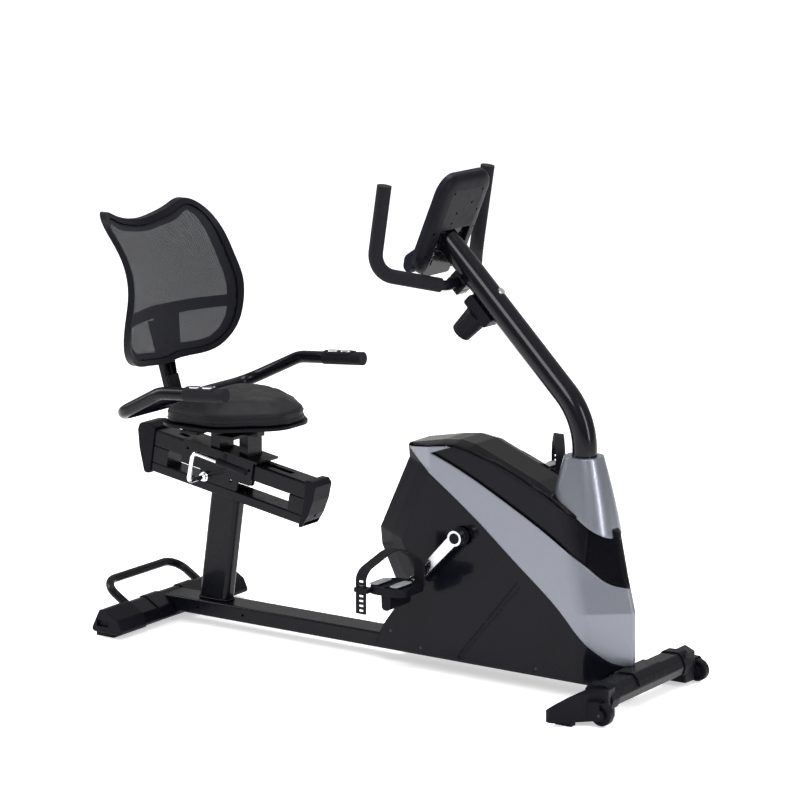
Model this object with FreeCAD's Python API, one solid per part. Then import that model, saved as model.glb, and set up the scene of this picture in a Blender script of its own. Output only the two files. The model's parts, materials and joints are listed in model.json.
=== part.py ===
"""Recumbent exercise bike: a welded frame, a sliding seat, a belt-driven flywheel and a console mast.

Millimetres, +Z up, +X towards the console, +Y to the rider's left.  Pieces are laid out with X
measured from the rear stabilizer and are moved by -MIDDLE_X when they are saved, so the origin
lies on the floor under the middle of the bike.
"""
import FreeCAD, Part
import math
import os

V = FreeCAD.Vector
MIDDLE_X = 673.5            # half way between the rear handle and the transport wheels

# ---- driving dimensions -------------------------------------------------------------------
BEAM_W, BEAM_H, BEAM_Z = 80, 40, 30              # main beam section and underside height
BEAM_TOP = BEAM_Z + BEAM_H
TUBE_WALL = 2.5
BEAM_REAR, BEAM_FRONT = 10, 1378

POST_FOOT_X, POST_LEAN = 150, 8.2                # seat post: foot centre and forward lean
POST_DEPTH, POST_WIDTH = 90, 40

RAIL_TILT = 9.6                                  # seat rail falls towards the front
RAIL_TOP_Z = 495.6                               # height of the rail's top face at X = 0
RAIL_WIDTH = 64
UPPER_RAIL_H, RAIL_GAP, LOWER_RAIL_H = 44, 42, 26
RAIL_REAR, RAIL_FRONT = -17, 464                 # ends of the rail, along its length
WINDOW_REAR, WINDOW_FRONT = 33, 418              # ends of the gap between the two rail tubes
RAIL_DEPTH = UPPER_RAIL_H + RAIL_GAP + LOWER_RAIL_H

SEAT_RIM_Z, CUSHION_H = 548, 62                  # underside of the seat's rim, height of its cushion
SEAT_REAR = 92
POST_TUBE_X = 48                                 # rear end of the rails under the seat

GRIP_Y, GRIP_Z, GRIP_END_X = 293, 676, 404       # seat-side hand grips
ARM_KNEE_X, ARM_KNEE_Z = 205, 661                # where each arm turns down towards the rear
ARM_REAR_X, ARM_REAR_Y, ARM_REAR_Z = 48, 268, 583
GRIP_BAR_R, GRIP_R = 16, 17.5

BORDER_W = 32                                    # width of the backrest's inner frame round its edge
LEVER_PIVOT, LEVER_Y, LEVER_R = V(149, 0, 398), -110, 6

CRANK_X, CRANK_Z, CRANK_LENGTH = 954, 361, 170
CRANK_ANGLE = math.radians(226.3)                # the right arm, measured from +X towards +Z
PEDAL_SIDES = (("right", -1, CRANK_ANGLE), ("left", 1, CRANK_ANGLE + math.pi))
ARM_Y = 120                                      # outer face of the crank arms
PEDAL_Y, PEDAL_W, PEDAL_L = 190, 110, 104        # middle of the pedal platforms, and their size
STRAP_W, STRAP_RUN, STRAP_OUT = 28, 60, 252      # strap, and where its outer leg passes the pedal
AXLE_R, PEDAL_AXLE_R, RUNNING_FIT = 8.5, 7, 0.05

FLY_X, FLY_Z, FLY_R = 1145, 218, 122
FLY_Y, FLY_THICK, FLY_AXLE_R = -56, 24, 6
BELT_Y, BELT_W, BELT_THICK, BELT_GAP = 44, 12, 4, 0.4
DRIVE_PULLEY_R, SMALL_PULLEY_R = 118, 22
MAGNET_PIVOT, MAGNET_PIN_R = V(FLY_X - 28, 0, FLY_Z + FLY_R + 14), 4
MAGNET_Y0 = FLY_Y - FLY_THICK / 2 - 4            # right-hand side of the magnet bracket

COVER_HALF_W, COVER_WALL = 80, 3
BAND_HALF_W = 85
PANEL_HALF_W = 77
NOSE_LENGTH = 95                                 # taper from the flat sides to the nose
FRONT_COVER_X = 1284                             # seam between the upper panels and the front cover
COVER_SCREWS = [(742, 92), (830, 62), (1160, 62)]

MAST_R = 30
MAST_TOP = (854, 1060)                           # upper end of the mast, in X and Z
MAST_X, MAST_BEND_Z = 1243, 668
MAST_DIR = V(MAST_X - MAST_TOP[0], 0, MAST_BEND_Z - MAST_TOP[1]).normalize()
MAST_UNDER = V(MAST_DIR.z, 0, -MAST_DIR.x)       # square to the mast, towards the seat
MAST_BOLT_ALONG = 187

CONSOLE_FOOT = V(830, 0, 972)                    # lower edge of the console's back, middle
CONSOLE_UP = V(97, 0, 236).normalize()           # up the console's back
CONSOLE_IN = V(-CONSOLE_UP.z, 0, CONSOLE_UP.x)   # through the console towards the rider
CONSOLE_H, CONSOLE_HALF_W, CONSOLE_DEPTH = 268, 104, 30
CONSOLE_RADII = [62, 62, 48, 48]
PLATE_HALF_W, PLATE_H, PLATE_DEPTH = 59, 120, 14     # mounting plate, sunk into the console's back
SCREEN_HALF_W, SCREEN_LOW = 78, 122
BUTTON_Y, KEY_UP = (-34, 0, 34), 94

BAR_Y, BAR_R, FOAM_R = 224, 12.5, 17.5           # handlebar
BAR_TOP_X, BAR_TOP_Z = 824, 1209
BAR_CORNER_X, BAR_CORNER_Z = 792, 1003
BAR_CLAMP = V(890, 0, 959)

KNOB_ALONG, KNOB_BASE_TOP, KNOB_TIP = 186, 64, 126   # along the mast, and out from its middle

FRONT_X, FRONT_HALF = 1396, 235                  # front stabilizer tube
WHEEL_X, WHEEL_Y, WHEEL_Z, WHEEL_R, WHEEL_AXLE_R = 1433, 226, 31.5, 27, 4
REAR_HALF = 268
HANDLE_X, HANDLE_Z, HANDLE_HALF = -102, 108, 150     # rear carrying handle
HANDLE_R, HANDLE_BEND = 11, 48

OUT = "parts"
os.makedirs(OUT, exist_ok=True)


# ---- shape helpers ------------------------------------------------------------------------
def in_xz(points, y=0):
    return [V(x, y, z) for x, z in points]


def in_xy(points, z=0):
    return [V(x, y, z) for x, y in points]


def in_yz(points, x=0):
    return [V(x, y, z) for y, z in points]


def rounded_path(points, radius, closed=True):
    """Straight runs joined by tangent arcs; radius is one value or one per point."""
    count = len(points)
    radii = radius if isinstance(radius, (list, tuple)) else [radius] * count
    corners = []
    for i, corner in enumerate(points):
        is_end = not closed and i in (0, count - 1)
        if is_end or radii[i] == 0:
            corners.append((corner, None, corner))
            continue
        back = (points[i - 1] - corner).normalize()
        ahead = (points[(i + 1) % count] - corner).normalize()
        half = back.getAngle(ahead) / 2
        bisector = (back + ahead).normalize()
        reach = radii[i] / math.tan(half)
        middle = corner + bisector * (radii[i] / math.sin(half) - radii[i])
        corners.append((corner + back * reach, middle, corner + ahead * reach))
    edges = []
    for i in range(count):
        start, middle, end = corners[i]
        if middle is not None:
            edges.append(Part.Arc(start, middle, end).toShape())
        if i < count - 1 or closed:
            following = corners[(i + 1) % count][0]
            if end.distanceToPoint(following) > 1e-6:
                edges.append(Part.LineSegment(end, following).toShape())
    return Part.Wire(edges)


def plate(points, along, radius=0):
    """A flat outline pushed along a vector."""
    return Part.Face(rounded_path(points, radius)).extrude(along)


def slab_y(points, y0, y1, radius=0):
    return plate(in_xz(points, y0), V(0, y1 - y0, 0), radius)


def slab_z(points, z0, z1, radius=0):
    return plate(in_xy(points, z0), V(0, 0, z1 - z0), radius)


def slab_x(points, x0, x1, radius=0):
    return plate(in_yz(points, x0), V(x1 - x0, 0, 0), radius)


def block(x0, x1, y0, y1, z0, z1):
    return Part.makeBox(x1 - x0, y1 - y0, z1 - z0, V(x0, y0, z0))


def rod(start, end, radius):
    return Part.makeCylinder(radius, (end - start).Length, start, end - start)


def rod_y(x, z, y0, y1, radius):
    return rod(V(x, y0, z), V(x, y1, z), radius)


def ring_y(x, z, y0, y1, outer, inner):
    return rod_y(x, z, y0, y1, outer).cut(rod_y(x, z, y0 - 1, y1 + 1, inner))


def pipe(points, bend, radius, bore=0):
    """A round tube along straight runs and tangent arcs."""
    path = rounded_path(points, bend, closed=False)

    def swept(size):
        section = Part.Wire(Part.makeCircle(size, points[0], points[1] - points[0]))
        return path.makePipeShell([section], True, False)

    return swept(radius).cut(swept(bore)) if bore else swept(radius)


def span(side, a, b):
    """Two distances out from the middle plane, on one side of it, in rising order."""
    return sorted((side * a, side * b))


def biggest(shape):
    return max(shape.Solids, key=lambda solid: solid.Volume)


def fuse(shapes):
    return shapes[0].fuse(list(shapes[1:])).removeSplitter()


def cut(shape, tools):
    return shape.cut(list(tools))


def frustum(start, end, r0, r1):
    return Part.makeCone(r0, r1, (end - start).Length, start, end - start)


def offset_outline(points, distances):
    """Each edge of a polygon moved inwards by its own distance; corners are met again."""
    count = len(points)
    area = sum(points[i - 1][0] * points[i][1] - points[i][0] * points[i - 1][1] for i in range(count))
    turn = 1 if area > 0 else -1
    lines = []
    for i in range(count):
        (x0, z0), (x1, z1) = points[i], points[(i + 1) % count]
        length = math.hypot(x1 - x0, z1 - z0)
        nx, nz = -(z1 - z0) / length * turn, (x1 - x0) / length * turn
        lines.append((x0 + nx * distances[i], z0 + nz * distances[i], x1 - x0, z1 - z0))
    moved = []
    for i in range(count):
        (ax, az, adx, adz), (bx, bz, bdx, bdz) = lines[i - 1], lines[i]
        t = ((bx - ax) * bdz - (bz - az) * bdx) / (adx * bdz - adz * bdx)
        moved.append((ax + adx * t, az + adz * t))
    return moved


FASTENERS = []              # bolt and screw heads and wheel pins, saved together at the end


def save(node, *shapes):
    """Write one sub-part; several shapes stay separate solids in it."""
    solids = [solid for shape in shapes for solid in shape.Solids]
    body = solids[0] if len(solids) == 1 else Part.makeCompound(solids)
    moved = body.copy()
    moved.translate(V(-MIDDLE_X, 0, 0))
    moved.exportStep(f"{OUT}/{node}.step")


# ---- rail frame: s runs down the rail towards the front, w stands square to it -------------
RAIL_COS = math.cos(math.radians(RAIL_TILT))
RAIL_SIN = math.sin(math.radians(RAIL_TILT))
RAIL_DIR = V(RAIL_COS, 0, -RAIL_SIN)


def on_rail(s, w, y=0):
    return V(s * RAIL_COS + w * RAIL_SIN, y, RAIL_TOP_Z - s * RAIL_SIN + w * RAIL_COS)


def rail_slab(points, y0, y1, radius=0):
    return plate([on_rail(s, w, y0) for s, w in points], V(0, y1 - y0, 0), radius)


def rail_block(s0, s1, w0, w1, y0, y1):
    return rail_slab([(s0, w0), (s1, w0), (s1, w1), (s0, w1)], y0, y1)


def rail_tube(s0, s1, w0, w1, width, wall, corner):
    """A rectangular tube that lies along the rail."""
    def section(inset, s):
        y = width / 2 - inset
        low, high = w0 + inset, w1 - inset
        return [on_rail(s, low, -y), on_rail(s, low, y), on_rail(s, high, y), on_rail(s, high, -y)]

    outer = plate(section(0, s0), RAIL_DIR * (s1 - s0), corner)
    return outer.cut(plate(section(wall, s0 - 1), RAIL_DIR * (s1 - s0 + 2), corner - wall + 0.5))


# ---- main frame ---------------------------------------------------------------------------
REAR_OUTLINE = [(-46, 17), (-19, 71), (-3, 73), (36, 50), (52, 16)]
FRONT_OUTLINE = [(-30, 34), (-30, 72), (-22, 83), (22, 85), (34, 72), (40, 54), (34, 34)]


def stabilizer_section(outline, y, grow=0):
    distances = [-grow] * len(outline)
    return in_xz(offset_outline(outline, distances), y)


def frame_beam():
    w, half_h = BEAM_W / 2, BEAM_H / 2
    mid = BEAM_Z + half_h

    def section(inset):
        a, b = w - inset, half_h - inset
        return [(-a, mid - b), (a, mid - b), (a, mid + b), (-a, mid + b)]

    beam = slab_x(section(0), BEAM_REAR, BEAM_FRONT, 5)
    beam = beam.cut(slab_x(section(TUBE_WALL), BEAM_REAR - 1, BEAM_FRONT + 1, 3))
    rear_hole = plate(stabilizer_section(REAR_OUTLINE, -60), V(0, 120, 0), 7)
    section = [p + V(FRONT_X, 0, 0) for p in stabilizer_section(FRONT_OUTLINE, -60)]
    front_hole = plate(section, V(0, 120, 0), 6)
    holes = [rod_y(x, mid, -w - 1, -w + 4, 3.5) for x in (118, 262)]
    save("main_beam", cut(beam, [rear_hole, front_hole] + holes))


def frame_post():
    lean = V(math.sin(math.radians(POST_LEAN)), 0, math.cos(math.radians(POST_LEAN)))
    foot = V(POST_FOOT_X, 0, BEAM_TOP)

    def section(inset):
        a, b = POST_DEPTH / 2 - inset, POST_WIDTH / 2 - inset
        return [foot + V(x, y, 0) for x, y in ((-a, -b), (a, -b), (a, b), (-a, b))]

    post = plate(section(0), lean * 420, 13)
    post = post.cut(plate(section(TUBE_WALL), lean * 420, 11))
    above_rail = rail_block(-100, 500, -RAIL_DEPTH, 300, -60, 60)
    save("seat_post", post.cut(above_rail))


def frame_rail():
    bottom = -RAIL_DEPTH
    upper = rail_tube(RAIL_REAR, RAIL_FRONT, -UPPER_RAIL_H, 0, RAIL_WIDTH, TUBE_WALL, 5)
    slot = rail_block(40, 400, -4, 2, -9, 9)
    save("rail_upper_tube", upper.cut(slot))
    lower = rail_tube(RAIL_REAR, RAIL_FRONT, bottom, bottom + LOWER_RAIL_H, RAIL_WIDTH, TUBE_WALL, 4)
    gap_top, gap_bottom = -UPPER_RAIL_H, bottom + LOWER_RAIL_H
    spacers = []
    for s0, s1 in ((RAIL_REAR, WINDOW_REAR), (WINDOW_FRONT, RAIL_FRONT)):
        outer = rail_block(s0, s1, gap_bottom, gap_top, -RAIL_WIDTH / 2, RAIL_WIDTH / 2)
        inner_half = RAIL_WIDTH / 2 - 3
        inner = rail_block(s0 + 3, s1 - 3, gap_bottom - 1, gap_top + 1, -inner_half, inner_half)
        spacers.append(outer.cut(inner))
    save("rail_lower_tube", fuse([lower] + spacers))


def rail_caps():
    """Moulded caps that close both ends of the rail; the front one has a screw well."""
    half = RAIL_WIDTH / 2 + 5
    low = -RAIL_DEPTH
    rear = [(RAIL_REAR + 2, low - 5), (RAIL_REAR + 2, 6), (-36, 14), (-66, 6), (-70, -14), (-58, -60),
            (-34, low - 6), (-26, low - 8)]
    front = [(RAIL_FRONT - 4, low - 6), (RAIL_FRONT + 3, -60), (RAIL_FRONT - 2, 6), (RAIL_FRONT + 20, 9),
             (RAIL_FRONT + 31, -2), (RAIL_FRONT + 29, -42), (RAIL_FRONT + 20, -82), (RAIL_FRONT + 6, low - 4)]
    sleeve = rail_block(RAIL_REAR - 12, RAIL_FRONT + 12, low, 0, -RAIL_WIDTH / 2, RAIL_WIDTH / 2)
    caps = []
    for outline, radii in ((rear, [3, 3, 12, 14, 14, 26, 10, 4]), (front, [3, 12, 3, 8, 8, 30, 30, 6])):
        cap = rail_slab(outline, -half, half, radii)
        lip = [e for e in cap.Edges if abs(abs(e.BoundBox.Center.y) - half) < 0.1]
        caps.append(cap.makeFillet(2.5, lip).cut(sleeve))
    screw = on_rail(RAIL_FRONT + 15, -88)
    well = rod(screw, screw + RAIL_DIR * 60, 5)
    save("rail_end_caps", caps[0], caps[1].cut(well))


def rear_foot():
    def barrel(grow, y0, y1, radius):
        return plate(stabilizer_section(REAR_OUTLINE, y0, grow), V(0, y1 - y0, 0), radius)

    tube_end = REAR_HALF - 95
    tube = barrel(0, -tube_end, tube_end, 7).cut(barrel(-TUBE_WALL, -tube_end - 1, tube_end + 1, 5))
    tube = tube.cut(pipe(rear_handle_route(), HANDLE_BEND, HANDLE_R))
    sleeves = []
    for side in (-1, 1):
        inner, outer = span(side, 42, 100)
        sleeve = barrel(3, inner, outer, 9).cut(barrel(0, inner - 1, outer + 1, 7))
        sleeves.append(sleeve.cut(block(-70, 70, -120, 120, -10, 24)))
    save("rear_stabilizer", fuse([tube] + sleeves))
    caps = []
    for side in (-1, 1):
        cap = barrel(2.5, *span(side, tube_end - 8, REAR_HALF), 9)
        face = [e for e in cap.Edges if abs(abs(e.BoundBox.Center.y) - REAR_HALF) < 0.1]
        cap = cap.makeFillet(3, face)
        cap = cap.cut(barrel(0, *span(side, tube_end - 20, tube_end), 7))
        window = block(-28, 10, *span(side, REAR_HALF - 8, REAR_HALF + 1), 30, 47)
        caps.append(cap.cut(window))
    save("rear_end_caps", *caps)


def rear_handle_route():
    foot_x, foot_z = -8, 50
    return [V(foot_x, -HANDLE_HALF, foot_z), V(HANDLE_X, -HANDLE_HALF, HANDLE_Z),
            V(HANDLE_X, HANDLE_HALF, HANDLE_Z), V(foot_x, HANDLE_HALF, foot_z)]


def rear_handle():
    inside = plate(stabilizer_section(REAR_OUTLINE, -200, -TUBE_WALL), V(0, 400, 0), 5)
    tube = pipe(rear_handle_route(), HANDLE_BEND, HANDLE_R, HANDLE_R - TUBE_WALL)
    save("rear_handle", tube.cut(inside))


def barrel(grow, y0, y1, radius):
    """The front stabilizer's form between two planes, grown outwards by a distance."""
    section = stabilizer_section(FRONT_OUTLINE, y0, grow)
    return plate([p + V(FRONT_X, 0, 0) for p in section], V(0, y1 - y0, 0), radius)


def front_foot():
    tube_end = FRONT_HALF - 70
    tube = barrel(0, -tube_end, tube_end, 6).cut(barrel(-TUBE_WALL, -tube_end - 1, tube_end + 1, 4))
    saddle = barrel(4, -62, 62, 8).cut(barrel(0, -63, 63, 6))
    saddle = saddle.cut(block(1340, 1480, -70, 70, 20, 60))
    saddle = saddle.cut(block(1340, BEAM_FRONT, -70, 70, 20, 72))
    save("front_stabilizer", fuse([tube, saddle]))
    save("front_end_caps", *[front_cap(side, tube_end) for side in (-1, 1)])
    for side in (-1, 1):
        FASTENERS.append(rod_y(WHEEL_X, WHEEL_Z, *span(side, WHEEL_Y - 17, WHEEL_Y + 17), WHEEL_AXLE_R))


def front_cap(side, tube_end):
    """A moulded end: a socket on the tube, a swept-back nose and a fork for the wheel."""
    socket = barrel(3, *span(side, tube_end - 10, tube_end + 22), 8)
    nose_plan = [(1366, tube_end), (1432, tube_end), (1436, 205), (1392, 250), (1340, 299), (1316, 296),
                 (1330, 240)]
    nose_plan = [(x, side * y) for x, y in nose_plan]
    nose = slab_z(nose_plan, 12, 100, [4, 4, 10, 30, 12, 12, 30])
    roof = [(1300, 20), (1300, 24), (1312, 33), (1345, 57), (1372, 75), (1440, 84), (1440, 12), (1324, 12)]
    nose = nose.common(slab_y(roof, -320, 320, [0, 2, 12, 40, 20, 6, 0, 0]))
    y0, y1 = span(side, WHEEL_Y - 17, WHEEL_Y + 17)
    fork = slab_y([(1380, 10), (1380, 66), (1425, 66), (1446, 44), (1446, 17), (1420, 17)], y0, y1,
                  [0, 6, 16, 12, 10, 10])
    fork = fork.common(block(1390, 1434, y0, y1, 14, 62))
    fork = fuse([fork, rod_y(WHEEL_X, WHEEL_Z, y0, y1, 13)])
    body = fuse([socket, nose, fork]).cut(barrel(0, *span(side, tube_end - 30, tube_end), 6))
    gap = rod_y(WHEEL_X, WHEEL_Z, *span(side, WHEEL_Y - 11, WHEEL_Y + 11), WHEEL_R + 2.5)
    bore = rod_y(WHEEL_X, WHEEL_Z, *span(side, WHEEL_Y - 18, WHEEL_Y + 18), WHEEL_AXLE_R)
    return cut(body, [gap, bore])


def foot_pads():
    rear_cap = plate(stabilizer_section(REAR_OUTLINE, -REAR_HALF, 2.5), V(0, 2 * REAR_HALF, 0), 9)
    pads = []
    for side in (-1, 1):
        pads.append(block(-44, 12, *span(side, 222, 250), 0, 20).cut(rear_cap))
        pads.append(block(1328, 1372, *span(side, 244, 264), 0, 12))
    save("foot_pads", *[biggest(pad) for pad in pads])


def transport_wheels():
    for name, side in (("wheel_right", -1), ("wheel_left", 1)):
        middle = side * WHEEL_Y
        wheel = rod_y(WHEEL_X, WHEEL_Z, middle - 10, middle + 10, WHEEL_R)
        wheel = wheel.makeFillet(3, [e for e in wheel.Edges if e.Curve.TypeId == "Part::GeomCircle"])
        grooves = [ring_y(WHEEL_X, WHEEL_Z, middle + y, middle + y + 4, 20, 11) for y in (-11, 7)]
        bore = rod_y(WHEEL_X, WHEEL_Z, middle - 12, middle + 12, WHEEL_AXLE_R + RUNNING_FIT)
        save(name, cut(wheel, grooves + [bore]))


# ---- housing ------------------------------------------------------------------------------
# Side outline of the housing at its middle plane.  The rear edges carry a double bevel, so each
# edge has a share of the bevel's width: all of it on the rear edges, a tenth along the top.
COVER_OUTLINE = [(693, 47), (722, 106), (775, 180), (737, 221), (698, 301), (694, 343), (779, 529),
                 (776, 563), (880, 583), (925, 588), (967, 582), (1146, 510), (1341, 406), (1500, 321),
                 (1500, 47)]
BEVEL_SHARE = [0, 0, 1, 1, 1, 1, 1, 0.1, 0.1, 0.1, 0.1, 0.1, 0.1, 0, 0]
BEVEL_DEPTHS = ((30, 0), (12, 43), (0, 81))      # distance in from the flat side, width of bevel
NOSE_BY_HEIGHT = ((30, 1385), (215, 1385), (300, 1364), (408, 1341), (640, 1296))
BAND_LOW = [(600, 685), (803, 542), (995, 406), (1119, 306), (1228, 216), (1316, 122), (1350, 94), (1420, 97)]
BAND_HIGH = [(862, 553), (953, 518), (1091, 450), (1226, 374), (1292, 322), (1335, 284), (1369, 274),
             (1420, 262)]
SEAM = [(600, 545), (778, 556), (862, 568), (919, 574), (964, 567), (1094, 523), (1169, 489), (1266, 434),
        (1420, 350)]


def curve_y(points, y):
    """A smooth curve through points in a plane that faces Y."""
    spline = Part.BSplineCurve()
    spline.interpolate(in_xz(points, y))
    return spline.toShape()


def nose_block(half_w, inset):
    """Everything behind the pointed nose, which leans back with height."""
    sections = []
    for z, nose in NOSE_BY_HEIGHT:
        tip = nose - inset * 1.4
        plan = [(500, -half_w), (tip - NOSE_LENGTH, -half_w), (tip, -6), (tip, 6),
                (tip - NOSE_LENGTH, half_w), (500, half_w)]
        sections.append(rounded_path(in_xy(plan, z), [0, 70, 5, 5, 70, 0]))
    return Part.makeLoft(sections, True, True)


def housing_block(half_w, inset=0):
    """The housing's filled outer form, or the same form drawn in by a wall's thickness."""
    width = half_w - inset
    layers = []
    for depth, bevel in BEVEL_DEPTHS:
        distances = [inset + bevel * share for share in BEVEL_SHARE]
        layers.append((width - depth, offset_outline(COVER_OUTLINE, distances)))
    first_y, first = layers[0]
    solids = [slab_y(first, -first_y, first_y)]
    for (y0, outline0), (y1, outline1) in zip(layers, layers[1:]):
        for side in (-1, 1):
            wires = [rounded_path(in_xz(outline0, side * y0), 0), rounded_path(in_xz(outline1, side * y1), 0)]
            solids.append(Part.makeLoft(wires, True, True))
    return fuse(solids).common(nose_block(width, inset))


def shell(half_w):
    return housing_block(half_w).cut(housing_block(half_w, COVER_WALL))


def clear_of_frame(shape):
    """Room in the housing for the beam, the front stabilizer's saddle and the mast."""
    beam = block(500, 1500, -BEAM_W / 2 - 0.5, BEAM_W / 2 + 0.5, 0, BEAM_TOP + 0.5)
    mast_tube = rod(V(MAST_X, 0, 0), V(MAST_X, 0, MAST_BEND_Z), MAST_R + 0.3)
    return cut(shape, [beam, barrel(4.4, -FRONT_HALF, FRONT_HALF, 6), mast_tube])


def half_space(side):
    return block(400, 1600, 0, 200, 0, 900) if side > 0 else block(400, 1600, -200, 0, 0, 900)


def groove(side):
    """A straight moulded groove that runs down the flat side."""
    line = [(1118, 258), (946, 52), (938, 58), (1108, 268)]
    return slab_y(line, *sorted((side * (COVER_HALF_W - 1.6), side * (COVER_HALF_W + 5))))


def housing():
    """Side covers, silver bands, upper panels, front cover and top cover, split along smooth seams."""
    ceiling = [(600, 800), (1420, 800)]
    floor = [(600, -100), (1420, -100)]
    rear_corner = SEAM[3]
    above_band = seam_region(BAND_HIGH, ceiling, rear_corner)
    under_seam = seam_region(floor, SEAM)
    band_region = seam_region(BAND_LOW, ceiling).cut(above_band).common(under_seam)
    panel_region = above_band.common(under_seam)
    front_of = block(FRONT_COVER_X, 1500, -120, 120, 0, 900)

    side_shell = clear_of_frame(shell(COVER_HALF_W).common(seam_region(floor, BAND_LOW)))
    band_shell = clear_of_frame(shell(BAND_HALF_W).common(band_region))
    panel_shell = shell(PANEL_HALF_W).common(panel_region)
    crank_hole = rod_y(CRANK_X, CRANK_Z, -130, 130, 24)
    covers = []
    for name, side in (("right", -1), ("left", 1)):
        wells = [rod_y(x, z, *span(side, COVER_HALF_W - 2, COVER_HALF_W + 4), 5) for x, z in COVER_SCREWS]
        cover = cut(side_shell.common(half_space(side)), [crank_hole, groove(side)] + wells)
        covers.append(biggest(cover))
        save(f"side_cover_{name}", covers[-1])
        for x, z in COVER_SCREWS:
            FASTENERS.append(rod_y(x, z, *span(side, COVER_HALF_W - 2, COVER_HALF_W - 0.8), 4.4))
    save("silver_bands", *[biggest(band_shell.common(half_space(side))) for side in (-1, 1)])
    save("upper_panels", *[biggest(panel_shell.cut(front_of).common(half_space(side))) for side in (-1, 1)])
    save("front_cover", biggest(panel_shell.common(front_of)))
    top = clear_of_frame(shell(PANEL_HALF_W - 3).common(seam_region(SEAM, ceiling)))
    save("top_cover", biggest(cut(top, covers)))


def seam_region(lower, upper, corner=None):
    """The space between two lines, right across the housing; a corner point squares off its rear."""
    half = 120

    def line(points):
        if len(points) > 2:
            return curve_y(points, -half).Edges
        return [Part.makeLine(*in_xz(points, -half))]

    first_low, first_high = in_xz([lower[0], upper[0]], -half)
    ends = [Part.makeLine(*in_xz([lower[-1], upper[-1]], -half))]
    if corner:
        middle = V(corner[0], -half, corner[1])
        ends += [Part.makeLine(first_low, middle), Part.makeLine(middle, first_high)]
    else:
        ends.append(Part.makeLine(first_low, first_high))
    wire = Part.Wire(Part.__sortEdges__(line(lower) + line(upper) + ends))
    return Part.Face(wire).extrude(V(0, 2 * half, 0))


def shroud():
    """A tapered collar round the foot of the mast, closed round it and cut off along the housing's top."""
    def form(inset):
        sections = []
        for z, x0, x1, half_y in ((578, 1196, 1287, 43), (500, 1176, 1309, 55), (380, 1146, 1336, 70)):
            outline = [(x0 + inset, -half_y + inset), (x1 - inset, -half_y + inset),
                       (x1 - inset, half_y - inset), (x0 + inset, half_y - inset)]
            sections.append(rounded_path(in_xy(outline, z), (half_y - inset) * 0.85))
        return Part.makeLoft(sections, True, False)

    hollow = form(COVER_WALL).translated(V(0, 0, -COVER_WALL))
    below = slab_y([(1100, 300), (1100, 544), (1146, 514), (1345, 385), (1380, 350), (1380, 300)], -120, 120)
    mast_tube = rod(V(MAST_X, 0, 300), V(MAST_X, 0, 600), MAST_R + 0.3)
    save("mast_shroud", biggest(cut(form(0), [hollow, below, mast_tube, housing_block(PANEL_HALF_W)])))


# ---- drive --------------------------------------------------------------------------------
def drive_frame():
    """Welded supports on the beam: crank tower with its bearings, bushed flywheel plates, mast socket."""
    shell_tube = ring_y(CRANK_X, CRANK_Z, -34, 34, 24, 17.5)
    tower = slab_y([(CRANK_X - 38, BEAM_TOP), (CRANK_X + 38, BEAM_TOP), (CRANK_X + 18, CRANK_Z),
                    (CRANK_X - 18, CRANK_Z)], -20, 20)
    tower = tower.cut(rod_y(CRANK_X, CRANK_Z, -40, 40, 23.9))
    tower = tower.cut(slab_y([(CRANK_X - 33, BEAM_TOP - 1), (CRANK_X + 33, BEAM_TOP - 1),
                              (CRANK_X + 14, CRANK_Z - 26), (CRANK_X - 14, CRANK_Z - 26)], -16, 16))
    plates = []
    for y in (-34, 26):
        support = slab_y([(FLY_X - 50, BEAM_TOP), (FLY_X + 50, BEAM_TOP), (FLY_X + 16, FLY_Z + 14),
                          (FLY_X - 16, FLY_Z + 14)], y, y + 8, [0, 0, 14, 14])
        plates.append(support.cut(rod_y(FLY_X, FLY_Z, y - 1, y + 9, FLY_AXLE_R + RUNNING_FIT)))
    pivot = MAGNET_PIVOT
    arm = slab_y([(FLY_X - 14, FLY_Z + 10), (FLY_X + 10, FLY_Z + 10), (pivot.x + 10, pivot.z + 8),
                  (pivot.x - 10, pivot.z + 8)], -34, -26, [0, 0, 7, 7])
    pin = rod_y(pivot.x, pivot.z, MAGNET_Y0 - 2, -26, MAGNET_PIN_R)
    fly_support = fuse([plates[0], arm, pin])
    socket = rod(V(MAST_X, 0, BEAM_TOP), V(MAST_X, 0, 300), MAST_R + 3.5)
    socket = socket.cut(rod(V(MAST_X, 0, BEAM_TOP + 4), V(MAST_X, 0, 310), MAST_R))
    bearings = [ring_y(CRANK_X, CRANK_Z, y, y + 12, 17.5, AXLE_R + RUNNING_FIT) for y in (-33, 21)]
    save("drive_frame", fuse([shell_tube, tower] + bearings), fly_support, plates[1], socket)


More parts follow.
